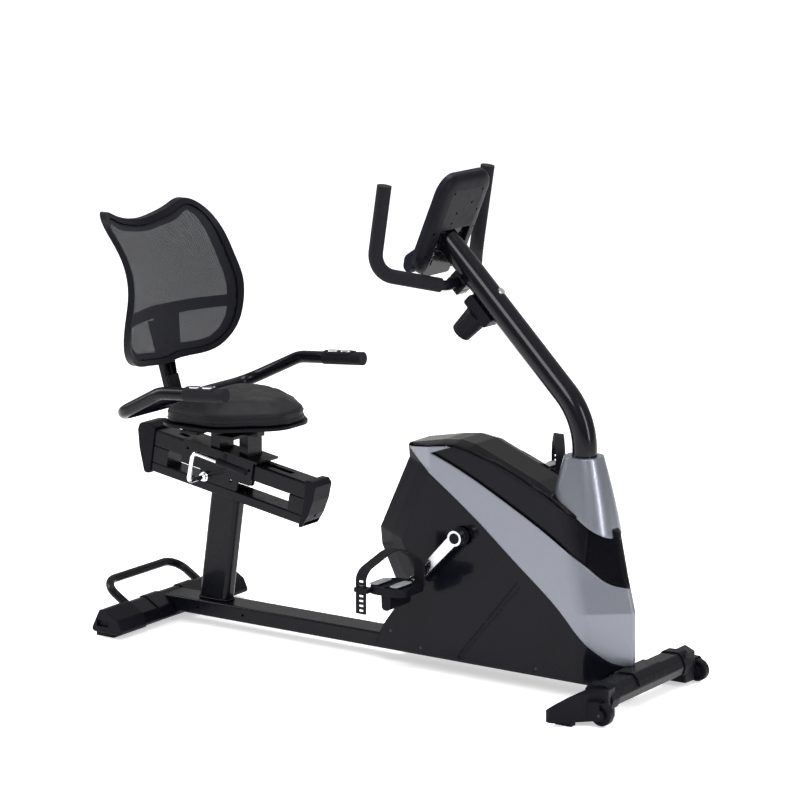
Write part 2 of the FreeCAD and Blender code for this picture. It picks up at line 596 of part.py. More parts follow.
def belt():
    """A flat ribbed belt round the drive pulley and the flywheel's small pulley."""
    dx, dz = FLY_X - CRANK_X, FLY_Z - CRANK_Z
    reach, heading = math.hypot(dx, dz), math.atan2(dz, dx)

    def loop(gap, y0, y1):
        big, small = DRIVE_PULLEY_R + gap, SMALL_PULLEY_R + gap
        lean = math.asin((big - small) / reach)
        ends = []
        for sign in (1, -1):
            a = heading + sign * (math.pi / 2 - lean)
            ends.append((V(CRANK_X + big * math.cos(a), y0, CRANK_Z + big * math.sin(a)),
                         V(FLY_X + small * math.cos(a), y0, FLY_Z + small * math.sin(a))))
        (big_0, small_0), (big_1, small_1) = ends
        far_big = V(CRANK_X - big * math.cos(heading), y0, CRANK_Z - big * math.sin(heading))
        far_small = V(FLY_X + small * math.cos(heading), y0, FLY_Z + small * math.sin(heading))
        wire = Part.Wire([Part.makeLine(big_0, small_0), Part.Arc(small_0, far_small, small_1).toShape(),
                          Part.makeLine(small_1, big_1), Part.Arc(big_1, far_big, big_0).toShape()])
        return Part.Face(wire).extrude(V(0, y1 - y0, 0))

    y0, y1 = BELT_Y - BELT_W / 2, BELT_Y + BELT_W / 2
    return loop(BELT_GAP + BELT_THICK, y0, y1).cut(loop(BELT_GAP, y0 - 1, y1 + 1))


def pulley(x, z, radius, bore, hub):
    """A belt pulley with low flanges and a web."""
    y0, y1 = BELT_Y - BELT_W / 2 - 1, BELT_Y + BELT_W / 2 + 1
    body = rod_y(x, z, y0, y1, radius)
    flanges = [rod_y(x, z, y, y + 1.5, radius + 6) for y in (y0 - 1.5, y1)]
    body = fuse([body] + flanges)
    if radius > 60:
        for y in (y0 - 2, y1 - 4):
            body = body.cut(ring_y(x, z, y, y + 6, radius - 14, hub + 8))
    return body.cut(rod_y(x, z, y0 - 10, y1 + 10, bore))


def flywheel():
    disc = rod_y(FLY_X, FLY_Z, FLY_Y - FLY_THICK / 2, FLY_Y + FLY_THICK / 2, FLY_R)
    for y in (FLY_Y - FLY_THICK / 2 - 1, FLY_Y + FLY_THICK / 2 - 6):
        disc = disc.cut(ring_y(FLY_X, FLY_Z, y, y + 7, FLY_R - 24, 30))
    hub = rod_y(FLY_X, FLY_Z, FLY_Y - 14, FLY_Y + 19, 20)
    axle = rod_y(FLY_X, FLY_Z, -74, 62, FLY_AXLE_R)
    save("flywheel", fuse([disc, hub, axle, pulley(FLY_X, FLY_Z, SMALL_PULLEY_R, FLY_AXLE_R, 10)]))


def crank_set():
    save("crank_axle", rod_y(CRANK_X, CRANK_Z, -ARM_Y + 2, ARM_Y - 2, AXLE_R))
    drive = pulley(CRANK_X, CRANK_Z, DRIVE_PULLEY_R, AXLE_R, 26)
    save("drive_pulley", drive)
    caps = [ring_y(CRANK_X, CRANK_Z, *span(side, 88, 94), 23, AXLE_R) for side in (-1, 1)]
    for name, side, angle in PEDAL_SIDES:
        arm, axle = crank_arm(side, angle)
        save(f"crank_arm_{name}", arm, axle)
        caps.append(rod_y(CRANK_X, CRANK_Z, *span(side, ARM_Y - 2, ARM_Y + 1.5), 13))
    save("crank_caps", *caps)


def crank_arm(side, angle):
    """A tapered arm with its hub boss, and the pedal's axle that is screwed into its end."""
    along = V(math.cos(angle), 0, math.sin(angle))
    square = V(-math.sin(angle), 0, math.cos(angle))
    hub, tip = V(CRANK_X, 0, CRANK_Z), V(CRANK_X, 0, CRANK_Z) + along * CRANK_LENGTH
    inner, outer = side * (ARM_Y - 14), side * ARM_Y
    shift = V(0, inner, 0)
    taper = [hub + square * 14 + shift, tip + square * 11 + shift, tip - square * 11 + shift,
             hub - square * 14 + shift]
    bar = Part.Face(rounded_path(taper, 0)).extrude(V(0, outer - inner, 0))
    boss = rod_y(CRANK_X, CRANK_Z, *span(side, ARM_Y - 24, ARM_Y), 19)
    end = rod_y(tip.x, tip.z, *sorted((inner, outer)), 14)
    arm = fuse([bar, boss, end])
    pocket_start, pocket_end = hub + along * 92, tip - along * 18
    wall = V(0, side * (ARM_Y - 4), 0)
    pocket = [pocket_start + square * 8, pocket_end + square * 7, pocket_end - square * 7,
              pocket_start - square * 8]
    pocket = Part.Face(rounded_path([p + wall for p in pocket], 4)).extrude(V(0, side * 6, 0))
    bores = [rod_y(CRANK_X, CRANK_Z, *span(side, 60, ARM_Y - 2), AXLE_R),
             rod_y(CRANK_X, CRANK_Z, *span(side, ARM_Y - 2, ARM_Y + 1), 13),
             rod_y(tip.x, tip.z, *span(side, 60, 200), PEDAL_AXLE_R)]
    axle = rod_y(tip.x, tip.z, *span(side, ARM_Y - 14, PEDAL_Y + PEDAL_W / 2 - 26), PEDAL_AXLE_R)
    return cut(arm, [pocket] + bores), axle


def pedals():
    for name, side, angle in PEDAL_SIDES:
        x = CRANK_X + CRANK_LENGTH * math.cos(angle)
        z = CRANK_Z + CRANK_LENGTH * math.sin(angle)
        body = pedal(side, x, z)
        save(f"pedal_{name}", body)
        save(f"pedal_strap_{name}", biggest(pedal_strap(side, x, z).cut(body)))


def pedal(side, x, z):
    """A platform on a barrel for its axle; the heavy block below keeps the tread facing up."""
    inner, outer, half = PEDAL_Y - PEDAL_W / 2, PEDAL_Y + PEDAL_W / 2, PEDAL_L / 2
    y0, y1 = span(side, inner, outer)
    tread = slab_z([(x - half, y0), (x + half, y0), (x + half, y1), (x - half, y1)], z - 9, z + 9, 26)
    barrel = rod_y(x, z, *span(side, inner + 4, outer - 12), 12.5)
    weight = slab_y([(x - 14, z - 6), (x + 14, z - 6), (x + 12, z - 47), (x - 12, z - 47)],
                    *span(side, inner + 14, outer - 8), [0, 0, 11, 11])
    strap_x = x - STRAP_RUN
    buckle = block(strap_x - 17, strap_x + 22, *span(side, STRAP_OUT - 16, STRAP_OUT + 8), z - 6, z + 5)
    slot = block(strap_x - 15, strap_x + 15, *span(side, STRAP_OUT - 2, STRAP_OUT + 4.5), z - 7, z + 6)
    body = fuse([tread, barrel, weight, buckle]).cut(slot)
    dishes = [block(x + dx - 14, x + dx + 14, *span(side, inner + 16, outer - 16), z + 7, z + 12)
              for dx in (-29, 29)]
    bore = rod_y(x, z, *span(side, inner - 10, outer - 25), PEDAL_AXLE_R + RUNNING_FIT)
    return cut(body, dishes + [bore])


def pedal_strap(side, x, z):
    """A slotted rubber strap that crosses the foot from the inner edge to the outer rear corner."""
    start, end = V(x + 25, side * 132, 0), V(x - STRAP_RUN, side * STRAP_OUT, 0)
    run = end - start
    along = (end - start).normalize()
    across = V(STRAP_W / 2, 0, 0)
    reach = run.Length
    outside = [(-3, z - 4), (-3, z + 60), (62, z + 104), (reach + 3, z + 44), (reach + 3, z - 60)]
    inside = [(reach, z - 60), (reach, z + 42), (62, z + 100), (0, z + 58), (0, z - 4)]
    outline = [start + along * u + V(0, 0, height) - across for u, height in outside + inside]
    radii = [0, 34, 50, 44, 0, 0, 41, 47, 31, 0]
    strap = Part.Face(rounded_path(outline, radii)).extrude(across * 2)
    slots = [block(end.x - 6, end.x + 6, *span(side, STRAP_OUT - 6, STRAP_OUT + 10), z + low, z + low + 5)
             for low in range(-54, 30, 12)]
    return cut(strap, slots)


# ---- mast, console and handlebar ----------------------------------------------------------
def on_mast(along, under, y=0):
    """A point beside the mast: distance down from its top, distance out on the rider's side."""
    return V(MAST_TOP[0], y, MAST_TOP[1]) + MAST_DIR * along + MAST_UNDER * under


def on_console(y, up, depth=0):
    return CONSOLE_FOOT + CONSOLE_UP * up + CONSOLE_IN * depth + V(0, y, 0)


def mast():
    """A bent tube whose upper end is cut off along the console's mounting plate."""
    route = [on_mast(-60, 0), V(MAST_X, 0, MAST_BEND_Z), V(MAST_X, 0, BEAM_TOP + 4)]
    beyond = console_plate(0, 300, -300, 600, PLATE_DEPTH - 4, 300)
    save("mast", biggest(pipe(route, 190, MAST_R, MAST_R - TUBE_WALL).cut(beyond)))


def console_plate(radius, y_half, up0, up1, d0, d1):
    outline = [on_console(-y_half, up0, d0), on_console(y_half, up0, d0), on_console(y_half, up1, d0),
               on_console(-y_half, up1, d0)]
    return plate(outline, CONSOLE_IN * (d1 - d0), radius)


def console_section(inset, depth):
    """The console's outline, drawn in by a distance, at a depth behind its back."""
    half, low, high = CONSOLE_HALF_W - inset, inset, CONSOLE_H - inset
    corners = [on_console(-half, low, depth), on_console(half, low, depth), on_console(half, high, depth),
               on_console(-half, high, depth)]
    return rounded_path(corners, [max(r - inset, 8) for r in CONSOLE_RADII])


def console():
    """A crowned back shell, a face with a screen and three keys, and a bulging ledge for a tablet."""
    half, high, deep = CONSOLE_HALF_W, CONSOLE_H, CONSOLE_DEPTH
    rim = deep - 12

    def dish(wall):
        steps = ((36, 0), (22, 2), (8, 7), (0, rim))
        sections = [console_section(inset + wall, depth + wall) for inset, depth in steps]
        return Part.makeLoft(sections, True, False)

    hollow = Part.Face(console_section(COVER_WALL, rim - COVER_WALL)).extrude(CONSOLE_IN * 10)
    holes = [(-60, 226), (60, 226), (-22, 170), (31, 194), (66, 170), (-29, 143), (-86, 120), (86, 120),
             (-86, 60)]
    holes = [rod(on_console(y, up, -3), on_console(y, up, 9), 3.5) for y, up in holes]
    recess = console_plate(8, PLATE_HALF_W + 5, -20, PLATE_H + 6, -1, PLATE_DEPTH)
    liner = console_plate(11, PLATE_HALF_W + 8, -20, PLATE_H + 9, -1, PLATE_DEPTH + COVER_WALL)
    liner = liner.common(dish(0))
    back = fuse([cut(dish(0), [dish(COVER_WALL), hollow]), liner])
    save("console_back", biggest(cut(back, [recess] + holes)))
    face = Part.Face(console_section(0, rim)).extrude(CONSOLE_IN * (deep - rim))
    window = console_plate(8, SCREEN_HALF_W, SCREEN_LOW, high - 24, deep - 20, deep + 1)
    key = console_plate(4, 11, KEY_UP - 9, KEY_UP + 9, deep - 7, deep + 1)
    keys = [key.translated(V(0, y, 0)) for y in BUTTON_Y]
    hollow = Part.Face(console_section(4, rim - 1)).extrude(CONSOLE_IN * 4)
    steps = ((4, -2), (4, 18), (36, 26), (66, 6), (66, -2))
    profile = [on_console(-half + 12, up, deep + d) for up, d in steps]
    ledge = plate(profile, V(0, 2 * half - 24, 0), [0, 15, 22, 10, 0])
    save("console_face", biggest(fuse([cut(face, [window, hollow] + keys), ledge])))
    save("console_lens", console_plate(8, SCREEN_HALF_W, SCREEN_LOW, high - 24, deep - 6, deep - 1.5))
    for number, y in enumerate(BUTTON_Y, 1):
        button = console_plate(3.5, 10.6, KEY_UP - 8.6, KEY_UP + 8.6, deep - 5, deep + 2)
        save(f"button_{number}", button.translated(V(0, y, 0)))


def console_bracket():
    """The mounting plate, welded to the upper end of the mast."""
    front, rear = PLATE_DEPTH - 4, PLATE_DEPTH
    back = console_plate(6, PLATE_HALF_W, -4, PLATE_H, front, rear)
    slots = [console_plate(3.4, 3.5, up - 8, up + 8, front - 2, rear + 1).translated(V(0, y, 0))
             for y, up in ((-40, 34), (40, 34), (-44, 100), (44, 100))]
    save("console_bracket", cut(back, slots))
    head = rod(on_mast(MAST_BOLT_ALONG, 2 - MAST_R), on_mast(MAST_BOLT_ALONG, -4 - MAST_R), 9)
    FASTENERS.append(head.cut(rod(on_mast(0, 0), on_mast(400, 0), MAST_R)))
    for y in (-50, 50):
        for up in (60, 84):
            FASTENERS.append(rod(on_console(y, up, front - 0.01), on_console(y, up, front - 3.5), 5))


def handlebar():
    route = [V(BAR_TOP_X, -BAR_Y, BAR_TOP_Z), V(BAR_CORNER_X, -BAR_Y, BAR_CORNER_Z),
             V(BAR_CLAMP.x, -62, BAR_CLAMP.z)]
    route += [V(p.x, -p.y, p.z) for p in reversed(route)]
    save("handlebar", pipe(route, [0, 62, 60, 60, 62, 0], BAR_R, BAR_R - 2))
    grips = []
    for side in (-1, 1):
        top, corner = V(BAR_TOP_X, side * BAR_Y, BAR_TOP_Z), V(BAR_CORNER_X, side * BAR_Y, BAR_CORNER_Z)
        clamp_end = V(BAR_CLAMP.x, side * 62, BAR_CLAMP.z)
        foam_end = clamp_end + (corner - clamp_end).normalize() * 14
        up = (top - corner).normalize()
        foam = pipe([top, corner, foam_end], 62, FOAM_R, BAR_R)
        grips.append(fuse([foam, rod(top, top + up * 4, FOAM_R)]))
    save("handlebar_grips", *grips)
    clamp()


def clamp():
    """A saddle under the mast and a cap plate that hold the bar between them."""
    half, reach, bolt_at = 19, 23, 17.5

    def piece(d0, d1):
        corners = [BAR_CLAMP + MAST_DIR * a + MAST_UNDER * d0 + V(0, -half, 0) for a in (-reach, reach)]
        corners += [corners[1] + MAST_UNDER * (d1 - d0), corners[0] + MAST_UNDER * (d1 - d0)]
        return plate(corners, V(0, 2 * half, 0), 3)

    bar = rod_y(BAR_CLAMP.x, BAR_CLAMP.z, -60, 60, BAR_R)
    mast_tube = rod(on_mast(-60, 0), on_mast(400, 0), MAST_R)
    saddle = piece(-38, -0.3).cut(bar).cut(mast_tube)
    cap = piece(0.3, 17).cut(bar)
    for a in (-bolt_at, bolt_at):
        for y in (-12, 12):
            start = BAR_CLAMP + MAST_DIR * a + MAST_UNDER * 17.01 + V(0, y, 0)
            FASTENERS.append(rod(start, start + MAST_UNDER * 4, 4))
    save("handlebar_clamp", biggest(saddle), cap)


def tension_control():
    half, grip_top = 25, KNOB_TIP - 11
    outline = [on_mast(KNOB_ALONG + a, u, -half) for a, u in ((-42, 26), (42, 26), (42, KNOB_BASE_TOP - 8),
                                                             (-42, KNOB_BASE_TOP - 8))]
    base = plate(outline, V(0, 2 * half, 0), 7).cut(rod(on_mast(0, 0), on_mast(330, 0), MAST_R))
    collar = rod(on_mast(KNOB_ALONG, KNOB_BASE_TOP - 8), on_mast(KNOB_ALONG, KNOB_BASE_TOP), 31)
    pin = rod(on_mast(KNOB_ALONG, KNOB_BASE_TOP), on_mast(KNOB_ALONG, grip_top - 1), 6)
    save("knob_base", fuse([base, collar, pin]))
    start, end = on_mast(KNOB_ALONG, KNOB_BASE_TOP + 0.5), on_mast(KNOB_ALONG, KNOB_TIP)
    grip = frustum(start, end, 30, 25.5)
    flutes = []
    count = 14
    side_dir = MAST_UNDER.cross(MAST_DIR)
    for i in range(count):
        a = 2 * math.pi * i / count
        radial = MAST_DIR * math.cos(a) + side_dir * math.sin(a)
        flutes.append(rod(start + MAST_UNDER * 10 + radial * 31, end + MAST_UNDER + radial * 28, 3))
    bore = rod(on_mast(KNOB_ALONG, KNOB_BASE_TOP), on_mast(KNOB_ALONG, grip_top), 6 + RUNNING_FIT)
    save("tension_knob", cut(grip, flutes + [bore]))


def magnet_bracket():
    """A curved carrier with four magnets that stands off the flywheel's rim."""
    inner, outer = FLY_R + 6, FLY_R + 12
    y0, y1 = MAGNET_Y0, 2 * FLY_Y - MAGNET_Y0
    arc_space = slab_y([(FLY_X, FLY_Z), (FLY_X + 240, FLY_Z + 97), (FLY_X + 120, FLY_Z + 260),
                        (FLY_X - 60, FLY_Z + 260)], y0 - 1, y1 + 1)
    carrier = ring_y(FLY_X, FLY_Z, y0, y1, outer, inner).common(arc_space)
    magnets = []
    for degrees in (32, 50, 68, 86):
        a = math.radians(degrees)
        radial, square = V(math.cos(a), 0, math.sin(a)), V(-math.sin(a), 0, math.cos(a))
        centre = V(FLY_X, y0 + 4, FLY_Z) + radial * (FLY_R + 3)
        corners = [centre + square * s * 12 + radial * r for s, r in ((-1, 0), (1, 0), (1, 4), (-1, 4))]
        magnets.append(plate(corners, V(0, y1 - y0 - 8, 0)))
    pivot = MAGNET_PIVOT
    lug = ring_y(pivot.x, pivot.z, y0, y1, 9, MAGNET_PIN_R + RUNNING_FIT)
    lug = lug.cut(rod_y(FLY_X, FLY_Z, y0 - 1, y1 + 1, inner))
    bore = rod_y(pivot.x, pivot.z, y0 - 1, y1 + 1, MAGNET_PIN_R + RUNNING_FIT)
    save("magnet_bracket", fuse([carrier, lug] + magnets).cut(bore))


# ---- seat assembly ------------------------------------------------------------------------
def seat_carriage():
    """A folded plate that straddles the rail, with rollers below the upper tube, and its seat plate."""
    skirt = [(80, -58), (143, -58), (143, -84), (262, -84), (262, -58), (302, -58), (302, 6), (80, 6)]
    pieces = [rail_block(80, 302, 1, 6, -38, 38), rail_block(214, 318, 6, 12, -46, 46)]
    for side in (-1, 1):
        pieces.append(rail_slab(skirt, *span(side, 33, 38), [6, 2, 6, 6, 2, 6, 3, 3]))
    for s in (108, 278):
        p = on_rail(s, -49.5)
        pieces.append(rod_y(p.x, p.z, -36, 36, 4.5))
    holes = [rod_y(LEVER_PIVOT.x, LEVER_PIVOT.z, -60, 60, LEVER_R + RUNNING_FIT)]
    for s, w in ((96, -16), (240, -62), (292, -18), (200, -16)):
        p = on_rail(s, w)
        holes += [rod_y(p.x, p.z, *span(side, 30, 60), 4) for side in (-1, 1)]
    save("seat_carriage", cut(fuse(pieces), holes))


def seat_frame():
    """Two standoffs on the carriage, two rails under the pan, and cross bars that tie them."""
    low, high = SEAT_RIM_Z - 24, SEAT_RIM_Z - 9
    pieces = []
    for x, lift in ((160, 6), (249, 12)):
        tube = block(x, x + 27, -30, 30, 400, low).cut(block(x + 2.5, x + 24.5, -27.5, 27.5, 399, 600))
        pieces.append(biggest(tube.common(rail_block(0, 600, lift, 300, -50, 50))))
    pieces += [block(POST_TUBE_X, 330, y, y + 30, low, high) for y in (-62, 32)]
    pieces += [block(x - 12, x + 40, -128, 128, low, low + 8) for x in (150, 262)]
    pieces.append(block(POST_TUBE_X, POST_TUBE_X + 24, -62, 62, low, high))
    save("seat_frame", fuse(pieces))


SEAT_PLAN = [(SEAT_REAR, -176), (276, -178), (404, -58), (404, 58), (276, 178), (SEAT_REAR, 176)]
SEAT_RADII = [64, 110, 80, 80, 110, 64]


def lever():
    """The rod that turns the locking cam, with its washers and nut, and the rubber grip on its end."""
    p = LEVER_PIVOT
    route = [V(p.x, 34, p.z), V(p.x, LEVER_Y, p.z), V(p.x + 16, LEVER_Y, p.z + 77),
             V(p.x + 177, LEVER_Y, p.z + 45)]
    bar = pipe(route, [0, 12, 14, 0], LEVER_R)
    cam = slab_y([(p.x - 9, p.z - 8), (p.x + 9, p.z - 8), (p.x + 26, p.z + 6), (p.x + 10, p.z + 12),
                  (p.x - 9, p.z + 9)], -14, 14, 3)
    washers = [rod_y(p.x, p.z, y - 3, y, 12) for y in (-38.5, -44)]
    nut = rod_y(p.x, p.z, -54, -47, 10)
    save("lock_lever", fuse([bar, cam, nut] + washers))
    start, end = route[2] + (route[3] - route[2]) * 0.47, route[3]
    direction = (end - start).normalize()
    rubber = rod(start, end + direction * 4, LEVER_R + 3).cut(rod(start, end, LEVER_R))
    tip = [e for e in rubber.Edges if (e.BoundBox.Center - end).Length < 6]
    save("lever_grip", rubber.makeFillet(2, tip[:1]))


def plan_at(z, inset):
    moved = offset_outline(SEAT_PLAN, [inset] * len(SEAT_PLAN))
    radii = [max(r - inset, 10) for r in SEAT_RADII]
    return rounded_path(in_xy(moved, z), radii)


def seat():
    pan = Part.Face(plan_at(SEAT_RIM_Z - 9, 40)).extrude(V(0, 0, 12))
    lip = Part.Face(plan_at(SEAT_RIM_Z, -1)).extrude(V(0, 0, 7))
    save("seat_pan", fuse([pan, lip]))
    low, mid = plan_at(SEAT_RIM_Z + 7, 4), plan_at(SEAT_RIM_Z + 44, 4)
    high = plan_at(SEAT_RIM_Z + CUSHION_H, 46)
    side = Part.makeLoft([low, mid], True, True)
    crown = Part.makeLoft([mid, high], True, True)
    save("seat_cushion", fuse([side, crown]))


def armrests():
    """One bent tube behind the seat, with a grip, an end plug and contact plates at each end."""
    right = [V(GRIP_END_X - 2, -GRIP_Y, GRIP_Z), V(ARM_KNEE_X, -GRIP_Y, ARM_KNEE_Z),
             V(ARM_REAR_X, -ARM_REAR_Y, ARM_REAR_Z)]
    left = [V(p.x, -p.y, p.z) for p in reversed(right)]
    save("armrest_bar", pipe(right + left, [0, 80, 62, 62, 80, 0], GRIP_BAR_R, GRIP_BAR_R - 2))
    covers, plates = [], []
    for side in (-1, 1):
        end = V(GRIP_END_X - 2, side * GRIP_Y, GRIP_Z)
        direction = (V(ARM_KNEE_X, side * GRIP_Y, ARM_KNEE_Z) - end).normalize()
        plug = rod(end, end - direction * 4, GRIP_R)
        cover = rod(end, end + direction * 118, GRIP_R)
        hollow = rod(end, end + direction * 150, GRIP_BAR_R)
        covers.append(fuse([cover, plug, pulse_pod(end, direction)]).cut(hollow))
        plates += pulse_plates(end, direction)
    save("armrest_grips", *covers)
    save("pulse_plates", *plates)


def grip_patch(end, direction, low, high, half, radius, top):
    """A rounded patch over the top of a grip, between two distances from its end."""
    up = V(direction.z, 0, -direction.x)
    base = end + up * 6
    corners = ((low, -half), (low, half), (high, half), (high, -half))
    outline = [base + direction * d + V(0, y, 0) for d, y in corners]
    return plate(outline, up * 16, radius).common(rod(end, end + direction * 160, top))


def pulse_pod(end, direction):
    """A low moulded saddle on top of the grip that carries the contact plates."""
    return grip_patch(end, direction, 22, 112, 15, 12, GRIP_R + 2.5)


def pulse_plates(end, direction):
    core = rod(end, end + direction * 160, GRIP_R + 2.5)
    return [grip_patch(end, direction, low, low + 32, 10, 7, GRIP_R + 4).cut(core) for low in (30, 70)]


# The back's surface: how far forward its middle and its edges lie at each height.
BACK_MIDDLE = [(640, 6), (700, -4), (800, -14), (880, -24), (960, -52), (1040, -98), (1110, -140)]
BACK_EDGE = [(640, 14), (700, 26), (800, 56), (880, 62), (960, 33), (1040, -34), (1110, -86)]
BACK_WIDTH = [(640, 150), (700, 200), (800, 245), (880, 235), (960, 221), (1040, 208), (1110, 190)]
BACK_OUTLINE = [(0, 676), (110, 680), (178, 694), (222, 738), (234, 808), (225, 872), (212, 930), (208, 1000),
                (194, 1050), (165, 1070), (118, 1058), (60, 1042), (0, 1035)]
BACK_SHIFT = 15                                  # the ring's thickness brings its edge forward


def between(points, at):
    """A value read from a short list of stations with a smooth curve through them."""
    spline = Part.BSplineCurve()
    spline.interpolate([V(z, value, 0) for z, value in points])
    low, high = spline.FirstParameter, spline.LastParameter
    for _ in range(40):
        middle = (low + high) / 2
        if spline.value(middle).x < at:
            low = middle
        else:
            high = middle
    return spline.value((low + high) / 2).y


def back_surface(shift):
    """The back's curved face, moved by a distance along X."""
    rows = []
    for z in range(640, 1111, 47):
        middle, edge, half = between(BACK_MIDDLE, z), between(BACK_EDGE, z), between(BACK_WIDTH, z)
        row = []
        for i in range(-6, 7):
            y = i * 45
            row.append(V(middle + (edge - middle) * (y / half) ** 2 + shift + BACK_SHIFT, y, z))
        rows.append(row)
    surface = Part.BSplineSurface()
    surface.interpolate(rows)
    return surface.toShape()


def back_layer(front, rear):
    """The space between two copies of the back's face, front and rear distances along X."""
    return back_surface(rear).extrude(V(front - rear, 0, 0))


def back_loop(inset):
    """The back's outline drawn in by a distance, as a closed smooth wire pushed along X."""
    right = BACK_OUTLINE
    points = right + [(-y, z) for y, z in reversed(right[1:-1])]
    count = len(points)
    moved = []
    for i in range(count):
        (ay, az), (by, bz) = points[i - 1], points[(i + 1) % count]
        length = math.hypot(by - ay, bz - az)
        ny, nz = -(bz - az) / length, (by - ay) / length
        moved.append((points[i][0] + ny * inset, points[i][1] + nz * inset))
    spline = Part.BSplineCurve()
    spline.interpolate(in_yz(moved, -300), PeriodicFlag=True)
    return Part.Face(Part.Wire(spline.toShape())).extrude(V(600, 0, 0))


def backrest():
    outer, middle, inner = back_loop(0), back_loop(15), back_loop(BORDER_W)
    ring = biggest(back_layer(5, -15).common(outer.cut(middle)))
    save("backrest_ring", ring)
    save("backrest_mesh", biggest(back_layer(0, -2).common(middle)))
    cross = block(-300, 300, -260, 260, 792, 822)
    spine = slab_x([(-42, 640), (42, 640), (50, 800), (-50, 800)], -300, 300)
    bands = fuse([middle.cut(inner), cross.common(middle), spine.common(middle)])
    save("backrest_frame", biggest(back_layer(-3, -9).common(bands)))
    backrest_post(ring)


def backrest_post(ring):
    """A flat tube that leans back from the seat frame and carries the back's spine plate."""
    lean = math.tan(math.radians(16.5))

    def section(inset, z):
        x = 3 - lean * (z - 652)
        a, b = 11 - inset, 25 - inset
        return [V(x - a, -b, z), V(x + a, -b, z), V(x + a, b, z), V(x - a, b, z)]

    low, high = SEAT_RIM_Z - 24, 775
    axis = V(-lean * (high - low), 0, high - low)
    tube = plate(section(0, low), axis, 4)
    bore = plate(section(2.5, low), axis, 2)
    behind = back_surface(-9.2).extrude(V(200, 0, 0))
    frame = block(POST_TUBE_X, 330, -62, 62, low - 1, SEAT_RIM_Z - 9)
    bar = rod_y(ARM_REAR_X, ARM_REAR_Z, -200, 200, GRIP_BAR_R)
    spine_plate = biggest(back_layer(-9.2, -14).common(block(-200, 200, -34, 34, 690, 772)))
    holes = [rod(V(-200, y, z), V(100, y, z), 3.5) for y in (-30, 30) for z in (712, 752)]
    post = fuse([biggest(tube.cut(behind)), spine_plate])
    save("backrest_post", biggest(cut(post, [bore, frame, bar, ring] + holes)))


frame_beam()
frame_post()
frame_rail()
rail_caps()
rear_foot()
rear_handle()
front_foot()
foot_pads()
transport_wheels()
housing()
shroud()
drive_frame()
save("drive_belt", belt())
flywheel()
crank_set()
pedals()
mast()
console()
console_bracket()
handlebar()
tension_control()
magnet_bracket()
seat_carriage()
seat_frame()
lever()
seat()
armrests()
backrest()
save("frame_fasteners", *FASTENERS)
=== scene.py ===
"""Looks for the recumbent exercise bike: materials, seat cushion, mesh back, trim, light and camera.

Metres, in the row frame: +X towards the console, +Y to the rider's left, +Z up from the floor.
"""
import json
import math

import bmesh
import bpy
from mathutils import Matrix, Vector
from mathutils.bvhtree import BVHTree


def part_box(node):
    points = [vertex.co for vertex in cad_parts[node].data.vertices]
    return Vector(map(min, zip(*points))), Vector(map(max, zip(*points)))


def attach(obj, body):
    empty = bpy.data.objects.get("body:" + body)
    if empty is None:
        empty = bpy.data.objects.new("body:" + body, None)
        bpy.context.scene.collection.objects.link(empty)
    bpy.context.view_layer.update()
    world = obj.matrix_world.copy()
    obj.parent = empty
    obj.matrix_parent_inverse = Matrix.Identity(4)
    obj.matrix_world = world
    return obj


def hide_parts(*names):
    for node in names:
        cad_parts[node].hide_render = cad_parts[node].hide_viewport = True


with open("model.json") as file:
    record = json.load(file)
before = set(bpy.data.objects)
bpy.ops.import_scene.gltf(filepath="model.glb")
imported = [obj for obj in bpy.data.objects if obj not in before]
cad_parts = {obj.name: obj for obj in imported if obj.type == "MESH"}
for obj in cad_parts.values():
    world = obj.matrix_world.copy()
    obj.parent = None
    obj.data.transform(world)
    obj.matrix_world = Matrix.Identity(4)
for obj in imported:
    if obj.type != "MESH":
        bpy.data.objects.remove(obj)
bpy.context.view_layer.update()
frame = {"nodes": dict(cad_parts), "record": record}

NODES = frame["nodes"]

# ---- camera and light -------------------------------------------------------------------------
CAMERA_TARGET = Vector((0.0438, 0.0, 0.6526))
CAMERA_AZIMUTH, CAMERA_ELEVATION = math.radians(34.046), math.radians(11.408)
CAMERA_DISTANCE, CAMERA_LENS, CAMERA_SENSOR = 8.282, 152.75, 36.0

# ---- colours, linear --------------------------------------------------------------------------
PAINT_BLACK = (0.0020, 0.0021, 0.0036)
HOUSING_BLACK = (0.0024, 0.0025, 0.0045)
CONSOLE_GREY = (0.0060, 0.0063, 0.0105)
GLOSS_BLACK = (0.0014, 0.0014, 0.0024)
PLASTIC_BLACK = (0.0030, 0.0031, 0.0048)
SILVER = (0.145, 0.152, 0.180)
BLACKENED_STEEL = (0.03, 0.03, 0.034)
PAD_GREY = (0.16, 0.165, 0.18)
BRIGHT_ALLOY = (0.52, 0.53, 0.56)
RUBBER_BLACK = (0.0038, 0.0038, 0.0054)
VINYL_BLACK = (0.0032, 0.0033, 0.0044)
MESH_GREY = (0.006, 0.0063, 0.009)

# ---- sizes ------------------------------------------------------------------------------------
BRIGHT_BOLTS_ABOVE = 0.8
PAD_HALF_WIDTH, PAD_HALF_LENGTH = 0.0125, 0.036
PAD_SHIFT = 0.029               # each tread's middle, off the pedal's middle
PAD_POINTS = 24
PAD_PROFILE = ((1.0, -0.0016), (1.0, 0.0004), (0.9, 0.0011), (0.5, 0.0015))   # share, height
CUSHION_VOXEL = 0.005
CUSHION_REST = 0.006            # the lowest part of the pad, which lies on the pan
CUSHION_FRAMES = 20
CUSHION_SHRINK = 0.005          # the pad starts this much inside its solid and swells back
CUSHION_CAP = 0.006             # furthest that the swelling moves a point
CUSHION_RELAX = 16              # passes that even out the flat facets of the solid
PIPING_R = 0.0016
PIPING_SHARES = (0.22, 0.48)    # heights of the two seams, as shares of the cushion's
SEAM_POINTS, WELD_POINTS = 280, 220
WELD_SEARCH = 0.004             # a tube's foot is what lies this close to its lowest point
